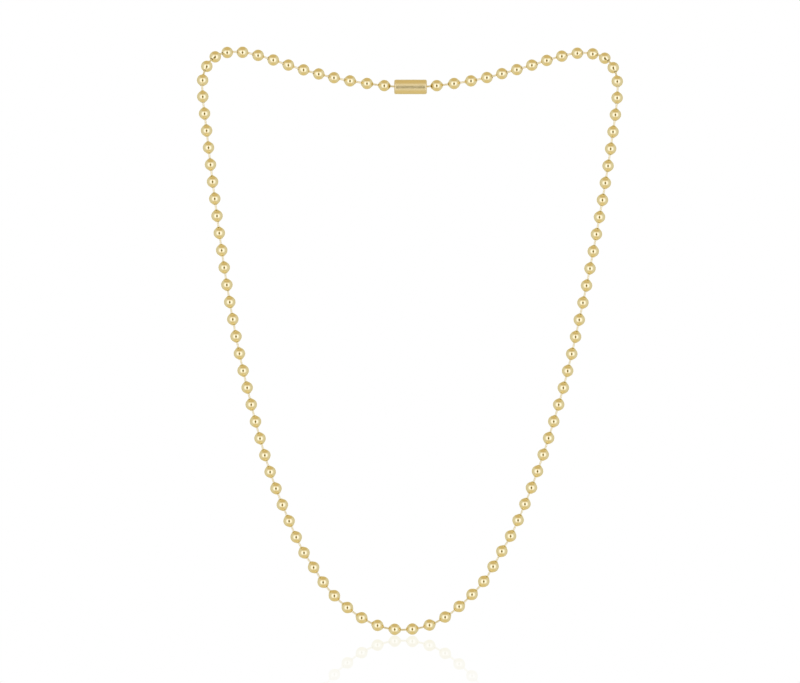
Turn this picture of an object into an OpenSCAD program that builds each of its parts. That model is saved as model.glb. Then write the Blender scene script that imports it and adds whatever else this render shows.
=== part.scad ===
// Ball chain necklace: one closed loop of hollow gold balls joined by headed
// pins, hanging as it does when worn, with a slotted sleeve as its clasp.
// Units are millimetres. +Z is up, the wearer faces -Y, and +X is to the right
// as seen from the front. The origin is where the clasp rests on the nape.

/* [Chain] */
// Length of the whole loop along its middle line
loop_len = 600; // [540:10:720]
// Bare length from one bead to the next
bead_gap = 2; // [1.6:0.1:3]

/* [Bead] */
// Outside diameter of a bead
bead_d = 4; // [3.5:0.1:5]
// Sheet thickness of a bead
bead_wall = 0.25; // [0.2:0.05:0.35]
// Angle off the bead's axis at which the ball runs out into its conical ends
cone_angle = 40; // [36:1:44]
// Width of the flat rim round each hole
rim_w = 0.1; // [0.06:0.01:0.2]

/* [Pin] */
// Diameter of a pin's shank
pin_d = 0.64; // [0.5:0.02:0.8]
// Clearance between a shank and the hole that it runs through
hole_gap = 0.2; // [0.18:0.01:0.3]
// How much wider a pin's head is than the hole
head_lap = 0.36; // [0.2:0.02:0.5]
// Thickness of a pin's head
head_t = 0.4; // [0.3:0.05:0.5]
// Play between a pin's head and the inside of the bead
head_play = 0.3; // [0.25:0.05:0.5]

/* [Clasp] */
// Sheet thickness of the sleeve
sleeve_wall = 0.35; // [0.25:0.05:0.6]
// Clearance between the sleeve and the beads in it
sleeve_gap = 0.15; // [0.12:0.01:0.3]
// Radius of the sleeve's rounded ends
sleeve_round = 0.6; // [0.4:0.05:1]
// Extra width of the end holes and the slot beside a pin's own clearance
slot_ease = 0.5; // [0.4:0.05:0.8]

/* [Hidden] */
$fn = 48;
gold = "#d8ae62";

// Stations of the chain's middle line as it hangs, from the nape down the left
// of the front view, round the lowest bead and up the right of it. Columns:
// across, back (forward is negative) and up.
route = [
    [0, 0, 0],
    [-20, -2, 2],
    [-35.8, -9.4, 5.6],
    [-54.2, -18.6, 11.2],
    [-62.8, -23.2, 11.6],
    [-68.4, -29.4, 8.6],
    [-71, -34.8, 1.6],
    [-69.6, -39.4, -15],
    [-65.6, -46.4, -47.2],
    [-61.6, -50.2, -73.8],
    [-56.4, -53.8, -99.8],
    [-48, -58.2, -131],
    [-38, -61, -155.8],
    [-33.4, -62.2, -163.4],
    [-26.4, -63, -173.2],
    [-14.4, -64.2, -182.4],
    [-2.8, -64.4, -185.2],
    [9.6, -64.2, -182.2],
    [23.4, -62.8, -170.6],
    [30.4, -61.6, -159.6],
    [35.6, -60.4, -150.2],
    [43.6, -58.2, -130.2],
    [52, -54.2, -103],
    [58.8, -50.2, -73.6],
    [64, -46.4, -47],
    [68.8, -40.8, -17.4],
    [70.6, -36, 0.8],
    [68, -30.2, 8.2],
    [62, -23.8, 11.2],
    [54.2, -19.8, 11],
    [36, -10, 5.8],
    [20, -2, 2]
];
// Steps that each stretch between two stations is measured in
route_steps = 24;

bead_r = bead_d / 2;
cavity_r = bead_r - bead_wall;
hole_r = pin_d / 2 + hole_gap;
rim_r = hole_r + rim_w;
// Where the cone leaves the ball, and the heights of its rim and of the middle
// of the hole over the bead's centre
foot_r = bead_r * sin(cone_angle);
foot_z = bead_r * cos(cone_angle);
rim_z = foot_z + (foot_r - rim_r) * tan(cone_angle);
hole_z = (sqrt(pow(cavity_r, 2) - pow(hole_r, 2)) + rim_z) / 2;
// Radius of a pin's head, and the height of its outer face in the bead
head_r = hole_r + head_lap / 2;
head_z = sqrt(pow(cavity_r, 2) - pow(head_r, 2)) - head_play;

// Smooth closed curve: each station's heading follows its two neighbours,
// and a cubic joins it to the next station
stations = len(route);
function station(i) = route[(i + stations) % stations];
function stretch(i) = norm(station(i + 1) - station(i));
function heading(i) = (station(i + 1) - station(i - 1)) / (stretch(i) + stretch(i - 1));
function curve(i, u) = (2 * pow(u, 3) - 3 * pow(u, 2) + 1) * station(i)
    + (pow(u, 3) - 2 * pow(u, 2) + u) * stretch(i) * heading(i)
    + (3 * pow(u, 2) - 2 * pow(u, 3)) * station(i + 1)
    + (pow(u, 3) - pow(u, 2)) * stretch(i) * heading(i + 1);

// The curve as short chords, with the length run up to each of them
line = [for (i = [0 : stations - 1], k = [0 : route_steps - 1]) curve(i, k / route_steps), station(0)];
last = len(line) - 1;
run = [for (k = 0, s = 0; k <= last; k = k + 1, s = k > last ? s : s + norm(line[k] - line[k - 1])) s];
route_len = run[last];
tables = [for (a = [0 : 2]) [for (k = [0 : last]) [run[k], line[k][a]]]];
function along(s) = [for (a = [0 : 2]) lookup(s, tables[a])];

// Bead centres, evenly spaced, with the clasp at the middle of the last interval
bead_count = round(loop_len / (bead_d + bead_gap));
loop_scale = loop_len / route_len;
function spot(i) = loop_scale * along((i + 0.5) * route_len / bead_count);
nape = (spot(0) + spot(bead_count - 1)) / 2;
sleeve_r = bead_r + sleeve_gap + sleeve_wall;
centres = [for (i = [0 : bead_count - 1]) spot(i) - nape + [0, sleeve_r, 0]];
function centre(i) = centres[(i + bead_count) % bead_count];
function unit(v) = v / norm(v);
function axis(i) = unit(centre(i + 1) - centre(i - 1));
half_count = floor(bead_count / 2);

// Turns what stands along Z to a direction, and sets it at a place
module facing(place, dir) {
    translate(place) rotate([0, acos(dir.z), atan2(dir.y, dir.x)]) children();
}

// Hollow ball with its holes along Z, drawn out to a cone round each of them
module bead() {
    rotate_extrude() difference() {
        union() {
            circle(r = bead_r);
            polygon([[0, -rim_z], [rim_r, -rim_z], [foot_r, -foot_z], [foot_r, foot_z], [rim_r, rim_z], [0, rim_z]]);
        }
        circle(r = cavity_r);
        translate([hole_r - bead_d, -bead_d]) square([bead_d, 2 * bead_d]);
    }
}

// Half of a pin's section, with the pin's middle at the origin: a shank as long
// as given, then a flat head with a rounded rim
module pin_section(shank) {
    square([pin_d / 2, shank + head_t / 2]);
    translate([0, shank]) square([head_r - head_t / 2, head_t]);
    translate([head_r - head_t / 2, shank + head_t / 2]) circle(d = head_t);
}

// Pin with its middle at the origin, along Z
module pin(shank) {
    rotate_extrude() {
        pin_section(shank);
        mirror([0, 1]) pin_section(shank);
    }
}

module bead_run(from, to) {
    for (i = [from : to]) facing(centre(i), axis(i)) bead();
}

// Each pin runs from the middle of one bead's hole to that of the next
module pin_run(from, to) {
    for (i = [from : to]) {
        start = centre(i) + hole_z * axis(i);
        end = centre(i + 1) - hole_z * axis(i + 1);
        facing((start + end) / 2, unit(end - start))
            pin(norm(end - start) / 2 + hole_z - head_z);
    }
}

module left_beads() {
    color(gold) bead_run(0, half_count - 1);
}

module right_beads() {
    color(gold) bead_run(half_count, bead_count - 1);
}

module left_pins() {
    color(gold) pin_run(0, half_count - 1);
}

module right_pins() {
    color(gold) pin_run(half_count, bead_count - 2);
}

// Sleeve round the two end beads, slotted along the side away from the neck
module connector_clasp() {
    pitch = norm(centre(0) - centre(-1));
    inside_r = bead_r + sleeve_gap;
    inside_h = pitch / 2 + rim_z + sleeve_gap;
    outside_h = inside_h + sleeve_wall;
    slot_r = hole_r + slot_ease / 2;
    color(gold) facing((centre(0) + centre(-1)) / 2, unit(centre(0) - centre(-1))) difference() {
        rotate_extrude() {
            translate([0, -outside_h]) square([sleeve_r - sleeve_round, 2 * outside_h]);
            translate([0, sleeve_round - outside_h]) square([sleeve_r, 2 * (outside_h - sleeve_round)]);
            for (side = [-1, 1])
                translate([sleeve_r - sleeve_round, side * (outside_h - sleeve_round)]) circle(r = sleeve_round);
        }
        cylinder(r = inside_r, h = 2 * inside_h, center = true);
        cylinder(r = slot_r, h = 3 * outside_h, center = true);
        translate([-slot_r, -2 * sleeve_r, -1.5 * outside_h]) cube([2 * slot_r, 2 * sleeve_r, 3 * outside_h]);
    }
}

left_beads();
right_beads();
left_pins();
right_pins();
connector_clasp();
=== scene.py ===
import math

import bpy
import numpy as np
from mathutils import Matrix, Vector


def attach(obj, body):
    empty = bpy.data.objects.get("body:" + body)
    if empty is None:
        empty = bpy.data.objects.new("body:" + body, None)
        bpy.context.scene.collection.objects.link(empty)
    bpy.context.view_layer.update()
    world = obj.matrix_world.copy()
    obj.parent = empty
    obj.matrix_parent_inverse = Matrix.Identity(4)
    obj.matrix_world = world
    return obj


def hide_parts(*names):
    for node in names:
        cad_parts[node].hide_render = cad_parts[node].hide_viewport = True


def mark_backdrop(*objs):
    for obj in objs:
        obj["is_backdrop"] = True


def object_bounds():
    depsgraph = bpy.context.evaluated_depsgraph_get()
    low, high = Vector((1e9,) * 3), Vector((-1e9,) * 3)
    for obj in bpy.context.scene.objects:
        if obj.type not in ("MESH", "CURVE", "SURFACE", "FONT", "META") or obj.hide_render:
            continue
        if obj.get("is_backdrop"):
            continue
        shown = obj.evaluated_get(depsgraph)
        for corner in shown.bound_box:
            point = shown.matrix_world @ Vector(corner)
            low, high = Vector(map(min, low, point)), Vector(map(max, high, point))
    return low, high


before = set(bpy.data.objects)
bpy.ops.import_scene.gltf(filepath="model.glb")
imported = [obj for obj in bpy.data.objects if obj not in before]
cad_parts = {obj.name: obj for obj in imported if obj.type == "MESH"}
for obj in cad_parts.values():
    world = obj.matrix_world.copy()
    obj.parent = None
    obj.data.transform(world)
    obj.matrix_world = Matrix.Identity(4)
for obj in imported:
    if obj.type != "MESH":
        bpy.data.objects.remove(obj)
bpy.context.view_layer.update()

# The hang of the chain
# The string of balls has no stiffness of its own: it lies along the smooth
# closed line that it takes on the wearer, from the clasp at the nape down the
# left of the front view, round the lowest ball and up again. The balls sit on
# that line at even steps, and each is turned towards its two neighbours.
mm = 0.001
loop_length = 600 * mm
ball_count = 100
sleeve_radius = 2.5 * mm
stations = mm * np.array([
    [0, 0, 0], [-20, -2, 2], [-35.8, -9.4, 5.6], [-54.2, -18.6, 11.2],
    [-62.8, -23.2, 11.6], [-68.4, -29.4, 8.6], [-71, -34.8, 1.6], [-69.6, -39.4, -15],
    [-65.6, -46.4, -47.2], [-61.6, -50.2, -73.8], [-56.4, -53.8, -99.8], [-48, -58.2, -131],
    [-38, -61, -155.8], [-33.4, -62.2, -163.4], [-26.4, -63, -173.2], [-14.4, -64.2, -182.4],
    [-2.8, -64.4, -185.2], [9.6, -64.2, -182.2], [23.4, -62.8, -170.6], [30.4, -61.6, -159.6],
    [35.6, -60.4, -150.2], [43.6, -58.2, -130.2], [52, -54.2, -103], [58.8, -50.2, -73.6],
    [64, -46.4, -47], [68.8, -40.8, -17.4], [70.6, -36, 0.8], [68, -30.2, 8.2],
    [62, -23.8, 11.2], [54.2, -19.8, 11], [36, -10, 5.8], [20, -2, 2],
])


def unit(vectors):
    """Each vector divided by its own length."""
    return vectors / np.linalg.norm(vectors, axis=-1, keepdims=True)


def hanging_line(points, steps=24):
    """The closed line through the points: between two of them a cubic whose end
    headings are the chord from the point before to the point after, over the
    length run between those two. Returns the line cut into steps per stretch."""
    following = np.roll(points, -1, axis=0)
    stretch = np.linalg.norm(following - points, axis=1)[:, None]
    heading = (following - np.roll(points, 1, axis=0)) / (stretch + np.roll(stretch, 1, axis=0))
    u = (np.arange(steps) / steps)[None, :, None]
    start, end = points[:, None], following[:, None]
    leave, arrive = (stretch * heading)[:, None], (stretch * np.roll(heading, -1, axis=0))[:, None]
    line = ((2 * u**3 - 3 * u**2 + 1) * start + (u**3 - 2 * u**2 + u) * leave
            + (3 * u**2 - 2 * u**3) * end + (u**3 - u**2) * arrive)
    return np.vstack([line.reshape(-1, 3), points[:1]])


def even_places(line, count, length):
    """Places halfway along each of count equal shares of the line's length, on a
    line scaled to the given length, as seen from the middle of the last share."""
    run = np.concatenate([[0], np.cumsum(np.linalg.norm(np.diff(line, axis=0), axis=1))])
    reach = (np.arange(count) + 0.5) * run[-1] / count
    places = np.stack([np.interp(reach, run, line[:, axis]) for axis in range(3)], axis=1)
    places *= length / run[-1]
    return places - (places[0] + places[-1]) / 2


ball_places = even_places(hanging_line(stations), ball_count, loop_length) + [0, sleeve_radius, 0]
ball_axes = unit(np.roll(ball_places, -1, axis=0) - np.roll(ball_places, 1, axis=0))
left_side = slice(0, ball_count // 2)
right_side = slice(ball_count // 2, ball_count)


def standing_frames(directions, towards):
    """For each direction a right-handed set of three axes: the third is the
    direction, the first points as nearly as it can the way of towards."""
    third = unit(directions)
    towards = np.broadcast_to(towards, third.shape)
    first = unit(towards - np.sum(towards * third, axis=-1, keepdims=True) * third)
    return np.stack([first, np.cross(third, first), third], axis=-1)


# Balls
# Each ball is rolled from thin strip of gold plated brass into a hollow sphere
# and necked in at both ends, so it runs out into a short cone round each hole.
# The strip's two edges meet in a hairline seam, here on the side that lies
# against the wearer. Polished by tumbling, which rolls the rims in a little, so
# each hole is 0.09 mm narrower all round than the part's clearance hole.
ball_radius = 2 * mm
ball_wall = 0.25 * mm
cone_angle = math.radians(40)
cone_shares = (0.08, 0.5, 0.9)
hole_radius = 0.43 * mm
rim_width = 0.19 * mm
rim_round = 0.03 * mm
seam_width = 0.035 * mm
seam_depth = 0.02 * mm
seam_spread = 0.6 * seam_width
seam_columns = (-2.2, -1.1, -0.5, 0, 0.5, 1.1, 2.2)
tumbled_turn = 0.25
drawn_reach = 0.35 * ball_radius
rim_radius = hole_radius + rim_width
cone_foot = ball_radius * np.array([math.sin(cone_angle), math.cos(cone_angle)])
rim_height = cone_foot[1] + (cone_foot[0] - rim_radius) * math.tan(cone_angle)


def arc(radius, start, end, count):
    """Points of a circle about the origin of a half plane, at polar angles from
    start to end off the axis: across = r sin(angle), up = r cos(angle)."""
    angle = np.linspace(start, end, count)
    return radius * np.stack([np.sin(angle), np.cos(angle)], axis=1)


def ball_section(outside_points=17, inside_points=9, turn_points=3):
    """Closed outline of the ball's sheet in a half plane through its axis: the
    outside from the upper cone's foot to the lower one, the lower cone, a rim
    rounded by quarter circles, the hole's wall, the hollow inside, and the
    same mirrored back up."""
    outside = arc(ball_radius, cone_angle, math.pi - cone_angle, outside_points)
    rim = np.array([[rim_radius, rim_height]])
    cone = cone_foot + (rim - cone_foot) * np.array(cone_shares)[:, None]
    quarter = np.linspace(0, math.pi / 2, turn_points)
    turn = np.stack([np.sin(quarter), np.cos(quarter)], axis=1) - [1, 1]
    outer_turn = rim + rim_round * turn[::-1]
    inner_turn = np.array([[hole_radius, rim_height]]) + rim_round * turn * [-1, 1]
    inner_radius = ball_radius - ball_wall
    throat = math.asin(hole_radius / inner_radius)
    inside = arc(inner_radius, throat, math.pi - throat, inside_points)
    wall = np.array([[hole_radius, (rim_height + inner_radius * math.cos(throat)) / 2]])
    upper = np.vstack([inside[:1], wall, inner_turn[::-1], outer_turn[::-1], cone[::-1]])
    lower = (upper * [1, -1])[::-1]
    return np.vstack([upper, outside, lower, inside[1:-1][::-1]])


def ball_columns(plain=36):
    """Angles round the ball's axis: even columns, with a few more pressed close
    together beside the seam at angle zero to hold its groove."""
    even = np.linspace(0, 2 * math.pi, plain, endpoint=False)[1:]
    beside = np.array(seam_columns) * seam_width / ball_radius
    return np.sort(np.concatenate([even, beside % (2 * math.pi)]))


def balls_grid(places, frames):
    """Points [ball, round the section, round the axis] of turned hollow balls:
    each section point swings round its ball's axis, and the outside dips along
    the seam by a bell curve of the distance from it."""
    section, angles = ball_section(), ball_columns()
    across, up = section[:, 0, None], section[:, 1, None]
    away = (angles + math.pi) % (2 * math.pi) - math.pi
    outer = np.hypot(across, up) > ball_radius - ball_wall / 2
    dip = seam_depth * outer * np.exp(-(away * across / seam_spread) ** 2)
    shrink = 1 - dip / np.hypot(across, up)
    local = np.stack([across * shrink * np.cos(angles), across * shrink * np.sin(angles),
                      up * shrink * np.ones_like(angles)], axis=-1)
    return places[:, None, None] + np.einsum("bxy,ijy->bijx", frames, local)


def wrapped_quads(pieces, rows, columns):
    """Corner numbers of the quads of closed rings of rings: row i is joined to
    row i + 1 and column j to column j + 1, and both run round to the start."""
    i, j = np.meshgrid(np.arange(rows), np.arange(columns), indexing="ij")
    next_i, next_j = (i + 1) % rows, (j + 1) % columns
    quads = np.stack([i * columns + j, next_i * columns + j,
                      next_i * columns + next_j, i * columns + next_j], axis=-1).reshape(-1, 4)
    start = np.arange(pieces)[:, None, None] * rows * columns
    return (start + quads[None]).reshape(-1, 4)


def surface_object(name, points, faces, **point_values):
    """A smooth mesh object from arrays: points, faces of three or four corner
    numbers, and named values for each point."""
    mesh = bpy.data.meshes.new(name)
    mesh.from_pydata(points.reshape(-1, 3), [], faces)
    mesh.polygons.foreach_set("use_smooth", np.ones(len(mesh.polygons), bool))
    for key, values in point_values.items():
        attribute = mesh.attributes.new(key, "FLOAT", "POINT")
        values = np.ascontiguousarray(values, np.float32)
        attribute.data.foreach_set("value", values.reshape(-1))
    mesh.validate()
    mesh.update()
    piece = bpy.data.objects.new(name, mesh)
    bpy.context.collection.objects.link(piece)
    return piece


def ball_string(name, side, seed):
    """The balls of one side as one piece, each a little turned about its axis
    as tumbling leaves them. The value near_hole runs from 1 at a hole to 0."""
    places, axes = ball_places[side], ball_axes[side]
    frames = standing_frames(axes, [0, 1, 0])
    chance = np.random.default_rng(seed)
    roll = chance.normal(0, tumbled_turn, len(places))
    cos_roll, sin_roll = np.cos(roll)[:, None], np.sin(roll)[:, None]
    turned = np.stack([frames[..., 0] * cos_roll + frames[..., 1] * sin_roll,
                       frames[..., 1] * cos_roll - frames[..., 0] * sin_roll,
                       frames[..., 2]], axis=-1)
    grid = balls_grid(places, turned)
    near = np.clip(1 - (ball_section()[:, 0] - hole_radius) / drawn_reach, 0, 1)
    near = np.broadcast_to(near[None, :, None], grid.shape[:3])
    return surface_object(name, grid, wrapped_quads(*grid.shape[:3]), near_hole=near)


def add_node(tree, kind, values=None, **settings):
    """A node of a kind, with settings as its properties and values on its inputs."""
    node = tree.nodes.new(kind)
    for label, value in settings.items():
        setattr(node, label, value)
    for key, value in (values or {}).items():
        if isinstance(value, bpy.types.NodeSocket):
            tree.links.new(value, node.inputs[key])
        else:
            node.inputs[key].default_value = value
    return node


def group_sockets(tree, inputs, outputs):
    """Names a node group's inputs, with their values, and its outputs."""
    for label, value in inputs.items():
        socket = tree.interface.new_socket(label, in_out="INPUT", socket_type="NodeSocketFloat")
        socket.default_value = value
    for label in outputs:
        tree.interface.new_socket(label, in_out="OUTPUT", socket_type="NodeSocketFloat")


def polish_group():
    """Shared wear of polished metal: a mottle of tone and haze about as large as
    a finger leaves, fine hairline scratches, and the height of both."""
    scratch_lean, scratch_stretch = (0.5, 0.9, 0.3), (1.0, 0.06, 1.0)
    scratch_from, scratch_full = 0.62, 0.75
    haze_from, haze_full = 0.42, 0.68
    scratch_depth = 0.25
    tree = bpy.data.node_groups.new("polish_wear", "ShaderNodeTree")
    group_sockets(tree, {"Mottle Size": 900.0, "Scratch Size": 5000.0, "Haze": 0.04},
                  ("Tone", "Roughness", "Height"))
    given = add_node(tree, "NodeGroupInput").outputs
    place = add_node(tree, "ShaderNodeTexCoord").outputs["Object"]
    mottle = add_node(tree, "ShaderNodeTexNoise", {
        "Vector": place, "Scale": given["Mottle Size"], "Detail": 3.0, "Roughness": 0.55})
    stretched = add_node(tree, "ShaderNodeMapping", {
        "Vector": place, "Rotation": scratch_lean, "Scale": scratch_stretch})
    scratch = add_node(tree, "ShaderNodeTexNoise", {
        "Vector": stretched.outputs[0], "Scale": given["Scratch Size"], "Detail": 2.0})
    line = add_node(tree, "ShaderNodeMapRange", {
        "Value": scratch.outputs["Fac"], "From Min": scratch_from, "From Max": scratch_full},
        interpolation_type="SMOOTHSTEP")
    patch = add_node(tree, "ShaderNodeMapRange", {
        "Value": mottle.outputs["Fac"], "From Min": haze_from, "From Max": haze_full},
        interpolation_type="SMOOTHSTEP")
    haze = add_node(tree, "ShaderNodeMath", {0: patch.outputs[0], 1: given["Haze"]},
                    operation="MULTIPLY")
    rough = add_node(tree, "ShaderNodeMath", {
        0: line.outputs[0], 1: given["Haze"], 2: haze.outputs[0]}, operation="MULTIPLY_ADD")
    height = add_node(tree, "ShaderNodeMath", {
        0: line.outputs[0], 1: -scratch_depth, 2: mottle.outputs["Fac"]},
        operation="MULTIPLY_ADD")
    shown = add_node(tree, "NodeGroupOutput")
    tree.links.new(mottle.outputs["Fac"], shown.inputs["Tone"])
    tree.links.new(rough.outputs[0], shown.inputs["Roughness"])
    tree.links.new(height.outputs[0], shown.inputs["Height"])
    return tree


polish_wear = polish_group()
relief_strength, relief_height = 0.35, 0.01 * mm


def polished_gold(name, pale, deep, roughness, wear, drawn_value, drawn_roughness):
    """Gold plate: a tone between pale and deep by the mottle, polished to the
    given roughness and worn by the shared group's values. Where the named point
    value nears 1 the metal was drawn in and reached by no polish, and its own
    roughness is added."""
    material = bpy.data.materials.new(name)
    material.use_nodes = True
    tree = material.node_tree
    shader = tree.nodes["Principled BSDF"]
    shader.inputs["Metallic"].default_value = 1.0
    worn = add_node(tree, "ShaderNodeGroup", node_tree=polish_wear)
    for key, value in wear.items():
        worn.inputs[key].default_value = value
    tone = add_node(tree, "ShaderNodeMix", {"Factor": worn.outputs["Tone"], "A": pale, "B": deep},
                    data_type="RGBA")
    drawn = add_node(tree, "ShaderNodeAttribute", attribute_name=drawn_value)
    polish = add_node(tree, "ShaderNodeMath", {0: worn.outputs["Roughness"], 1: roughness},
                      operation="ADD")
    rough = add_node(tree, "ShaderNodeMath", {
        0: drawn.outputs["Fac"], 1: drawn_roughness, 2: polish.outputs[0]},
        operation="MULTIPLY_ADD")
    relief = add_node(tree, "ShaderNodeBump", {
        "Height": worn.outputs["Height"], "Strength": relief_strength, "Distance": relief_height})
    tree.links.new(tone.outputs["Result"], shader.inputs["Base Color"])
    tree.links.new(rough.outputs[0], shader.inputs["Roughness"])
    tree.links.new(relief.outputs[0], shader.inputs["Normal"])
    return material


ball_gold = polished_gold(
    "ball_gold", pale=(0.9, 0.79, 0.46, 1), deep=(0.87, 0.74, 0.41, 1), roughness=0.07,
    wear={"Mottle Size": 900.0, "Scratch Size": 5000.0, "Haze": 0.05},
    drawn_value="near_hole", drawn_roughness=0.15)
for name, side, node, seed in (("left_ball_string", left_side, "left_beads", 11),
                               ("right_ball_string", right_side, "right_beads", 12)):
    string = ball_string(name, side, seed)
    string.data.materials.append(ball_gold)
    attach(string, "root")
    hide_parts(node)

# Pins
# Each pin is a short length of drawn gold plated wire, upset at both ends into
# a flat head that is trapped inside a ball. It runs straight from the middle of
# one ball's hole to the middle of the next one's.
shank_radius = 0.32 * mm
head_radius = 0.7 * mm
head_thickness = 0.4 * mm
head_play = 0.3 * mm
head_flat = 0.2 * mm
head_fillet = 0.05 * mm
shank_ring = 0.4 * mm
hollow_radius = ball_radius - ball_wall
hole_middle = (math.sqrt(hollow_radius**2 - hole_radius**2) + rim_height) / 2
head_face = math.sqrt(hollow_radius**2 - head_radius**2) - head_play


def pin_section(half_shanks, rim_points=7):
    """Outlines [pin, point, (across, along)] from the axis at one end of each pin
    to the axis at the other: a flat end, a head with a half-round rim, a small
    fillet, a ring that keeps the shank straight, and the same mirrored."""
    rim = head_thickness / 2
    swing = np.linspace(-math.pi / 2, math.pi / 2, rim_points)
    head = np.stack([head_radius - rim + rim * np.cos(swing), rim - rim * np.sin(swing)], axis=1)
    fillet = np.array([[shank_radius + head_fillet, 0], [shank_radius, -head_fillet],
                       [shank_radius, -shank_ring]])
    end = np.vstack([[head_flat, head_thickness], head, fillet])
    ends = np.repeat(end[None], len(half_shanks), axis=0)
    ends[:, :, 1] += half_shanks[:, None]
    middle = np.broadcast_to([[shank_radius, 0]], (len(half_shanks), 1, 2))
    return np.concatenate([ends, middle, (ends * [1, -1])[:, ::-1]], axis=1)


def capped_faces(pieces, rows, columns):
    """Faces of turned pieces whose rings are closed at both ends by a fan to one
    point: for each piece all its rings come first, then its two end points."""
    i, j = np.meshgrid(np.arange(rows - 1), np.arange(columns), indexing="ij")
    next_j = (j + 1) % columns
    quads = np.stack([i * columns + j, (i + 1) * columns + j,
                      (i + 1) * columns + next_j, i * columns + next_j], axis=-1).reshape(-1, 4)
    ring, following = np.arange(columns), (np.arange(columns) + 1) % columns
    last, end = (rows - 1) * columns, np.full(columns, rows * columns)
    fans = np.vstack([np.stack([ring, following, end], axis=-1),
                      np.stack([last + following, last + ring, end + 1], axis=-1)])
    start = np.arange(pieces)[:, None, None] * (rows * columns + 2)
    return ((start + quads[None]).reshape(-1, 4).tolist()
            + (start + fans[None]).reshape(-1, 3).tolist())


def pin_row(name, first, last, columns=20):
    """The pins from the ball numbered first to the one numbered last, as one
    piece: each outline swung round the line from hole to hole. The value
    near_head runs from 0 at a pin's middle to 1 at its heads."""
    here = ball_places[first:last] + hole_middle * ball_axes[first:last]
    there = ball_places[first + 1:last + 1] - hole_middle * ball_axes[first + 1:last + 1]
    spans = np.linalg.norm(there - here, axis=1)
    frames = standing_frames(there - here, [0, 1, 0])
    section = pin_section(spans / 2 + hole_middle - head_face)
    angle = np.arange(columns) * 2 * math.pi / columns
    across, along = section[..., 0, None], section[..., 1, None]
    rings = np.stack([across * np.cos(angle), across * np.sin(angle),
                      along * np.ones_like(angle)], axis=-1)
    tips = section[:, [0, -1], 1]
    points = np.concatenate([rings.reshape(len(spans), -1, 3),
                             np.stack([0 * tips, 0 * tips, tips], axis=-1)], axis=1)
    points = ((here + there) / 2)[:, None] + np.einsum("bxy,bny->bnx", frames, points)
    near = np.concatenate([np.repeat(np.abs(section[..., 1]), columns, axis=1),
                           np.abs(tips)], axis=1)
    near = near / near.max(axis=1, keepdims=True)
    faces = capped_faces(len(spans), section.shape[1], columns)
    return surface_object(name, points, faces, near_head=near)


pin_gold = polished_gold(
    "pin_gold", pale=(0.93, 0.85, 0.58, 1), deep=(0.89, 0.79, 0.5, 1), roughness=0.25,
    wear={"Mottle Size": 2200.0, "Scratch Size": 9000.0, "Haze": 0.08},
    drawn_value="near_head", drawn_roughness=0.15)
for name, first, last, node in (("left_pin_row", 0, ball_count // 2, "left_pins"),
                                ("right_pin_row", ball_count // 2, ball_count - 1, "right_pins")):
    row = pin_row(name, first, last)
    row.data.materials.append(pin_gold)
    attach(row, "root")
    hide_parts(node)

# Clasp
# The connector is a sleeve bent from gold plated sheet round the two end balls,
# with turned-in ends and a slot along the side away from the neck, through
# which a ball is pressed in and out. Its edges are broken by tumbling.
sleeve_wall = 0.35 * mm
sleeve_round = 0.6 * mm
sleeve_gap = 0.15 * mm
slot_half = 0.77 * mm
edge_break = 0.07 * mm
edge_angle = math.radians(50)


def sleeve_sheet(half_length, columns=72, corner_points=9, flat_points=5, barrel_points=9):
    """The sleeve's outer face as a grid [along, round]: a section that starts at
    an end hole's edge, crosses the flat end, turns a quarter circle, runs along
    the barrel and ends the same way, swung round the axis from one side of the
    slot to the other. The slot's sides are parallel, so at a distance r from
    the axis the swing starts at the angle whose sine is slot half width / r."""
    quarter = np.linspace(0, math.pi / 2, corner_points)
    corner = np.stack([sleeve_radius - sleeve_round * (1 - np.sin(quarter)),
                       half_length - sleeve_round * (1 - np.cos(quarter))], axis=1)
    flat = np.stack([np.linspace(slot_half, corner[0, 0], flat_points + 1)[:-1],
                     np.full(flat_points, half_length)], axis=1)
    half = np.vstack([flat, corner])
    barrel = np.stack([np.full(barrel_points, sleeve_radius),
                       np.linspace(1, -1, barrel_points + 2)[1:-1] * corner[-1, 1]], axis=1)
    section = np.vstack([half, barrel, (half * [1, -1])[::-1]])
    across, along = section[:, 0, None], section[:, 1, None]
    open_angle = np.arcsin(np.clip(slot_half / across, 0, 1))
    share = np.linspace(0, 1, columns)
    angle = open_angle + share * (2 * math.pi - 2 * open_angle)
    return np.stack([across * np.cos(angle), across * np.sin(angle),
                     along * np.ones_like(angle)], axis=-1)


first_ball, last_ball = ball_places[0], ball_places[-1]
sleeve_axis = unit(first_ball - last_ball)
sleeve_half = (np.linalg.norm(first_ball - last_ball) / 2 + rim_height + sleeve_gap
               + sleeve_wall)
sheet = sleeve_sheet(sleeve_half)
rows, columns = sheet.shape[:2]
near_end = np.clip(1 - (sleeve_half - np.abs(sheet[..., 2])) / sleeve_round, 0, 1)
sheet = ((first_ball + last_ball) / 2
         + sheet @ standing_frames(sleeve_axis[None], [0, 1, 0])[0].T)
i, j = np.meshgrid(np.arange(rows - 1), np.arange(columns - 1), indexing="ij")
corners = np.stack([i * columns + j, (i + 1) * columns + j,
                    (i + 1) * columns + j + 1, i * columns + j + 1], axis=-1).reshape(-1, 4)
sleeve = surface_object("connector_sleeve", sheet, corners, near_end=near_end)
thickness = sleeve.modifiers.new("thickness", "SOLIDIFY")
thickness.thickness = sleeve_wall
thickness.offset = -1
edges = sleeve.modifiers.new("edges", "BEVEL")
edges.width = edge_break
edges.segments = 2
edges.limit_method = "ANGLE"
edges.angle_limit = edge_angle
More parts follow.
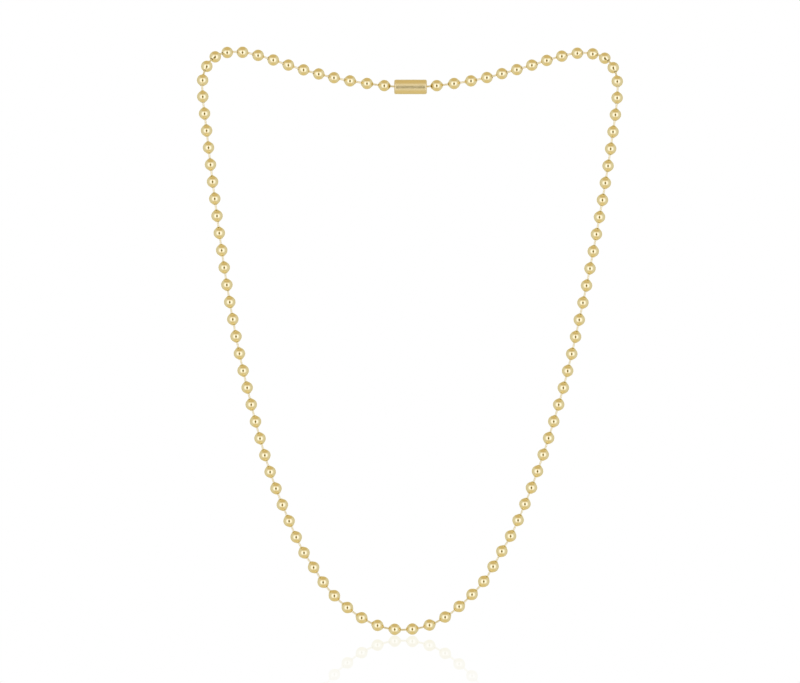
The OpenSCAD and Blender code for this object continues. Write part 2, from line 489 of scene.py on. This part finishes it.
sleeve_gold = polished_gold(
    "sleeve_gold", pale=(0.9, 0.78, 0.45, 1), deep=(0.86, 0.72, 0.4, 1), roughness=0.34,
    wear={"Mottle Size": 700.0, "Scratch Size": 4000.0, "Haze": 0.07},
    drawn_value="near_end", drawn_roughness=0.15)
sleeve.data.materials.append(sleeve_gold)
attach(sleeve, "root")
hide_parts("connector_clasp")

# Floor
# A sheet of white acrylic right under the lowest ball, as white as the backdrop.
# It mirrors a sixth of the red and green and a quarter of the blue that stand
# over it, and dulls towards its edges. The mirror has to stay perfectly sharp:
# that is how the tent's light tells what the floor reflects from what gold does.
floor_drop = 0.02 * mm
floor_size = 4.0
floor_mirror = (0.17, 0.17, 0.25, 1)
no_mirror = (0, 0, 0, 1)
polish_near, polish_far = 0.2, 2.2


def white_floor(height):
    """A square sheet at the given height. Its material is a weak mirror, whose
    share falls evenly with the distance from the middle, over an even white
    that makes up the rest."""
    edge = floor_size / 2
    mesh = bpy.data.meshes.new("floor")
    mesh.from_pydata([(-edge, -edge, height), (edge, -edge, height),
                      (edge, edge, height), (-edge, edge, height)], [], [(0, 1, 2, 3)])
    floor = bpy.data.objects.new("floor", mesh)
    bpy.context.collection.objects.link(floor)
    material = bpy.data.materials.new("white_acrylic")
    material.use_nodes = True
    tree = material.node_tree
    tree.nodes.clear()
    place = add_node(tree, "ShaderNodeTexCoord").outputs["Object"]
    away = add_node(tree, "ShaderNodeVectorMath", {0: place}, operation="LENGTH")
    dull = add_node(tree, "ShaderNodeMapRange", {
        "Value": away.outputs["Value"], "From Min": polish_near, "From Max": polish_far})
    shares = add_node(tree, "ShaderNodeMix", {
        "Factor": dull.outputs[0], "A": floor_mirror, "B": no_mirror},
        data_type="RGBA").outputs["Result"]
    rest = add_node(tree, "ShaderNodeInvert", {"Color": shares}).outputs[0]
    white = add_node(tree, "ShaderNodeEmission", {"Color": rest, "Strength": 1.0})
    mirror = add_node(tree, "ShaderNodeBsdfGlossy", {"Color": shares, "Roughness": 0.0})
    both = add_node(tree, "ShaderNodeAddShader", {0: white.outputs[0], 1: mirror.outputs[0]})
    shown = add_node(tree, "ShaderNodeOutputMaterial")
    tree.links.new(both.outputs[0], shown.inputs["Surface"])
    mesh.materials.append(material)
    floor.visible_glossy = False
    floor.visible_diffuse = False
    return floor


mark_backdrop(white_floor(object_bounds()[0].z - floor_drop))

# Light
# A white tent all round: a bright sheet in front, with the lens on its stand
# looking through a slit in it, plain sides, a small window straight behind, a
# dimmer opening overhead and a yellowish table below. Levels are linear, and 1
# is the white of the picture. A reach is half a form's width and half its height.
side_light = (0.78, 0.77, 0.72, 1)
back_light = (0.68, 0.64, 0.46, 1)
back_north = (0.3, 0.85)
window_light = (1.5, 1.5, 1.6, 1)
window_north = (math.cos(math.radians(24)), math.cos(math.radians(12)))
overhead_light = (0.7, 0.58, 0.34, 1)
overhead_rise = (math.radians(35), math.radians(58))
table_light = (0.8, 0.7, 0.46, 1)
table_drop = (math.radians(35), math.radians(70))
front_light = (1.35, 1.38, 1.75, 1)
front_reach = (math.radians(62), math.radians(40))
front_rise = math.radians(-2)
front_squareness = 3
stand_light = (0.85, 0.72, 0.36, 1)
stand_reach = (math.radians(15), math.radians(44))
lens_light = (0.2, 0.18, 0.05, 1)
lens_reach = (math.radians(20), math.radians(25))
lens_rise = math.radians(-4)
lens_squareness = 2
fade_out, fade_in = 1.3, 0.5
backdrop_white = (1, 1, 1, 1)


def white_tent():
    """World light by direction. Each direction has a turn, from straight in front
    to the sides, and a rise above the level. The front sheet, the stand and the
    lens are ellipses in turn and rise that fade by smooth steps, and the
    overhead, table and back light come in by smooth steps of the rise or the
    way north, which is back. What the camera sees by itself or in the floor's
    sharp mirror is the plain white backdrop."""
    world = bpy.data.worlds.new("white_tent")
    bpy.context.scene.world = world
    world.use_nodes = True
    tree = world.node_tree
    tree.nodes.clear()

    def work(operation, *values):
        """One step of arithmetic."""
        node = add_node(tree, "ShaderNodeMath", dict(enumerate(values)), operation=operation)
        return node.outputs[0]

    def step(value, low, high):
        """A smooth step from 0 where the value is low to 1 where it is high."""
        return add_node(tree, "ShaderNodeMapRange", {
            "Value": value, "From Min": low, "From Max": high},
            interpolation_type="SMOOTHSTEP").outputs[0]

    def blend(share, start, end):
        """The colour that lies the given share of the way from start to end."""
        return add_node(tree, "ShaderNodeMix", {"Factor": share, "A": start, "B": end},
                        data_type="RGBA").outputs["Result"]

    def off_middle(reach, middle_rise, squareness):
        """Distance from the middle of an ellipse, 1 at its edge: the root of the
        sum of turn / half width and rise / half height, each raised to the
        squareness, which is 2 for an ellipse and more for squarer forms."""
        across = work("ABSOLUTE", work("DIVIDE", turn, reach[0]))
        up = work("ABSOLUTE", work("DIVIDE", work("SUBTRACT", rise, middle_rise), reach[1]))
        both = work("ADD", work("POWER", across, squareness), work("POWER", up, squareness))
        return work("POWER", both, 1 / squareness)

    way = add_node(tree, "ShaderNodeTexCoord").outputs["Generated"]
    east, north, up = add_node(tree, "ShaderNodeSeparateXYZ", {0: way}).outputs
    turn = work("ARCTAN2", east, work("MULTIPLY", north, -1.0))
    rise = work("ARCSINE", up)
    drop = work("MULTIPLY", rise, -1.0)
    light = blend(step(north, *back_north), side_light, back_light)
    light = blend(step(north, *window_north), light, window_light)
    light = blend(step(rise, *overhead_rise), light, overhead_light)
    light = blend(step(drop, *table_drop), light, table_light)
    for form_light, reach, middle_rise, squareness in (
            (front_light, front_reach, front_rise, front_squareness),
            (stand_light, stand_reach, lens_rise, lens_squareness),
            (lens_light, lens_reach, lens_rise, lens_squareness)):
        inside = step(off_middle(reach, middle_rise, squareness), fade_out, fade_in)
        light = blend(inside, light, form_light)
    tent = add_node(tree, "ShaderNodeBackground", {"Color": light, "Strength": 1.0})
    backdrop = add_node(tree, "ShaderNodeBackground", {"Color": backdrop_white, "Strength": 1.0})
    path = add_node(tree, "ShaderNodeLightPath").outputs
    seen = work("MAXIMUM", path["Is Camera Ray"], path["Is Singular Ray"])
    both = add_node(tree, "ShaderNodeMixShader", {
        0: seen, 1: tent.outputs[0], 2: backdrop.outputs[0]})
    shown = add_node(tree, "ShaderNodeOutputWorld")
    tree.links.new(both.outputs[0], shown.inputs["Surface"])


white_tent()
bpy.context.scene.view_settings.view_transform = "Standard"

# Camera
# Level with the middle of the chain, straight in front and far off, as for a
# catalogue picture, so that every ball looks equally large. The picture is 800
# pixels wide and 683 high, and each pixel shows the same small length.
picture_width = 800
pixel_length = 0.3405 * mm
picture_middle = (-3.6 * mm, -45 * mm, -87.1 * mm)
camera_distance = 10.0
sensor_width = 36.0

camera_data = bpy.data.cameras.new("camera")
camera_data.sensor_width = sensor_width
camera_data.lens = sensor_width * camera_distance / (picture_width * pixel_length)
camera_data.clip_start, camera_data.clip_end = 0.1, 2 * camera_distance
camera = bpy.data.objects.new("camera", camera_data)
camera.location = (picture_middle[0], picture_middle[1] - camera_distance, picture_middle[2])
camera.rotation_euler = (math.pi / 2, 0, 0)
bpy.context.collection.objects.link(camera)
bpy.context.scene.camera = camera
